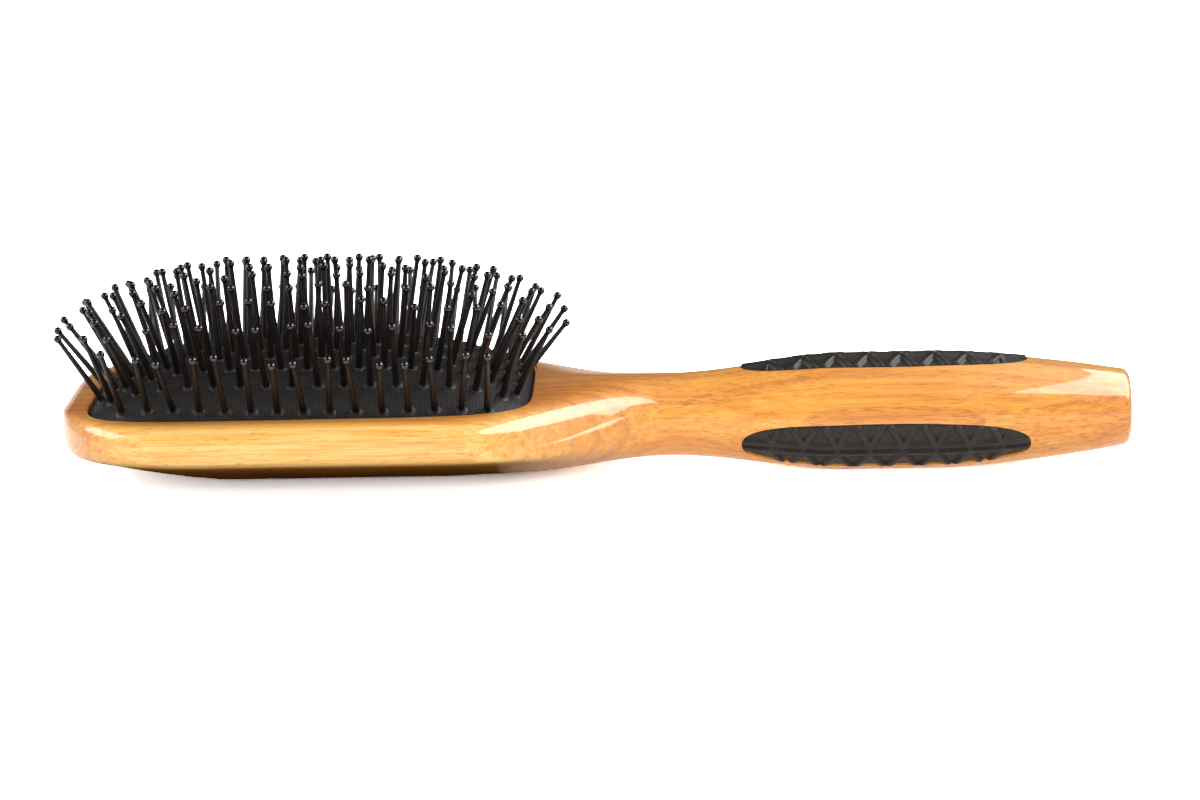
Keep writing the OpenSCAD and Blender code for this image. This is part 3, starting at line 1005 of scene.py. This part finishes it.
def add_pins(cad_node, shaft, polished):
    """The pins of a node. Each is bent a little at random, and those near the rim less."""
    profile = pin_profile()
    most = MOST_OUTER_BEND if cad_node in OUTER_NODES else MOST_BEND
    verts, faces = [], []
    for start, axis in pin_axes(cad_node):
        bend = (random.uniform(-most, most), random.uniform(-most, most))
        join_part(verts, faces, lathe(profile, start, axis, bend))
    piece = make(cad_node + "_nylon", verts, faces, shaft)
    piece.data.materials.append(polished)
    polish_balls(piece, len(profile))
    smooth(piece, 50)
    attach(piece, cad_node)
    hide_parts(cad_node)


# Cushion
def cushion_rings():
    """Rings of the membrane, outside first, then down the skirt, round the flange and back inside."""
    shares = [DOME_TIP] + [i / DOME_STEPS for i in range(1, DOME_STEPS)] + [DOME_FOOT, 1.0]
    rings = [open_ring(dome_z(share), -SEAT_GAP, CUSHION_SIDES, share) for share in shares]
    wall = [(0.0, FLANGE_Z + FLANGE_T), (FLANGE_REACH, FLANGE_Z + FLANGE_T), (FLANGE_REACH, FLANGE_Z),
            (-RUBBER_T, FLANGE_Z), (-RUBBER_T, LIP_Z - RUBBER_T)]
    rings += [open_ring(z, gap - SEAT_GAP, CUSHION_SIDES) for gap, z in wall]
    for share in (0.96, 0.89, 0.81, 0.71, 0.6, 0.47, 0.32, 0.16, DOME_TIP):
        gap = -RUBBER_T * share ** 4 - SEAT_GAP
        rings.append(open_ring(dome_z(share) - INNER_DROP, gap, CUSHION_SIDES, share))
    return rings


def collar_profile():
    """A low collar of rubber round a pin, from under the membrane up its shank."""
    clear = PIN_ROOT_R + COLLAR_GAP
    points = [(COLLAR_FOOT, COLLAR_R)]
    for i in range(COLLAR_STEPS + 1):
        f = i / COLLAR_STEPS
        height = COLLAR_RIM + (COLLAR_TOP - COLLAR_RIM) * f
        points.append((height, clear + (COLLAR_R - clear) * (1 - f) ** COLLAR_POWER))
    return points + [(COLLAR_TOP + PIN_STEP_H, PIN_ROOT_R - COLLAR_GAP)]


def add_cushion(material):
    """The membrane, with a collar round each pin where it leaves the rubber."""
    verts, faces = loft(cushion_rings())
    profile = collar_profile()
    for cad_node in PIN_NODES:
        for start, axis in pin_axes(cad_node):
            join_part(verts, faces, lathe(profile, start + axis * (PIN_HEAD_T + SINK), axis))
    piece = make("cushion_membrane", verts, faces, material)
    smooth(piece, 50)
    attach(piece, "root")
    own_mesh(piece)
    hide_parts("cushion")


bpy.context.scene.view_settings.view_transform = "Standard"
add_camera()
add_stage()
add_body(bamboo_material())
rubber = grip_material()
for grip_name, grip_angle in GRIP_ANGLES.items():
    add_grip(grip_name, grip_angle, rubber)
add_cushion(cushion_material())
nylon, polished_nylon = pin_material(), ball_material()
for pins in PIN_NODES:
    add_pins(pins, nylon, polished_nylon)
